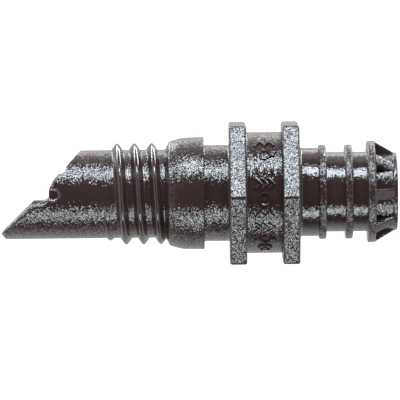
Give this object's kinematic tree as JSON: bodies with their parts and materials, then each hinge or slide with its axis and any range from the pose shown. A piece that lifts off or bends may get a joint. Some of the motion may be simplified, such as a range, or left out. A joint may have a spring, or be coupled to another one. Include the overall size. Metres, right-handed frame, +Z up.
{
  "type": "drip emitter",
  "caption": "Self-tapping drip emitter: slanted threaded inlet nose, sealing olive, drum between hex flanges and a ribbed hose barb, with a pressure-regulating diaphragm inside.",
  "frame": {"origin": "on the long axis, at the face of the inlet hex flange that bears on the pipe wall", "axes": "+X along the flow, from the slanted nose to the hose barb; +Z up, square to a pair of hex flats; the slanted cut faces -X and +Z"},
  "size_m": [0.0229, 0.0092, 0.008],
  "materials": {
    "dark_shell": "dark brown moulded plastic with a fine spark-eroded grain",
    "strainer_plastic": "dark moulded plastic, smooth",
    "natural_plastic": "natural off-white moulded plastic",
    "silicone": "moulded silicone sheet",
    "seal_rubber": "black nitrile rubber"
  },
  "bodies": {
    "shell": {"inlet_body": "dark_shell", "outlet_body": "dark_shell", "inlet_strainer": "strainer_plastic", "labyrinth_core": "natural_plastic", "diaphragm_spacer": "natural_plastic", "metering_seat": "natural_plastic", "body_seal": "seal_rubber"},
    "diaphragm": {"regulator_diaphragm": "silicone"}
  },
  "joints": [
    {"name": "diaphragm_lift", "type": "slide", "parent": "shell", "child": "diaphragm", "axis": [1, 0, 0], "range_m": [0, 0.00023]}
  ]
}
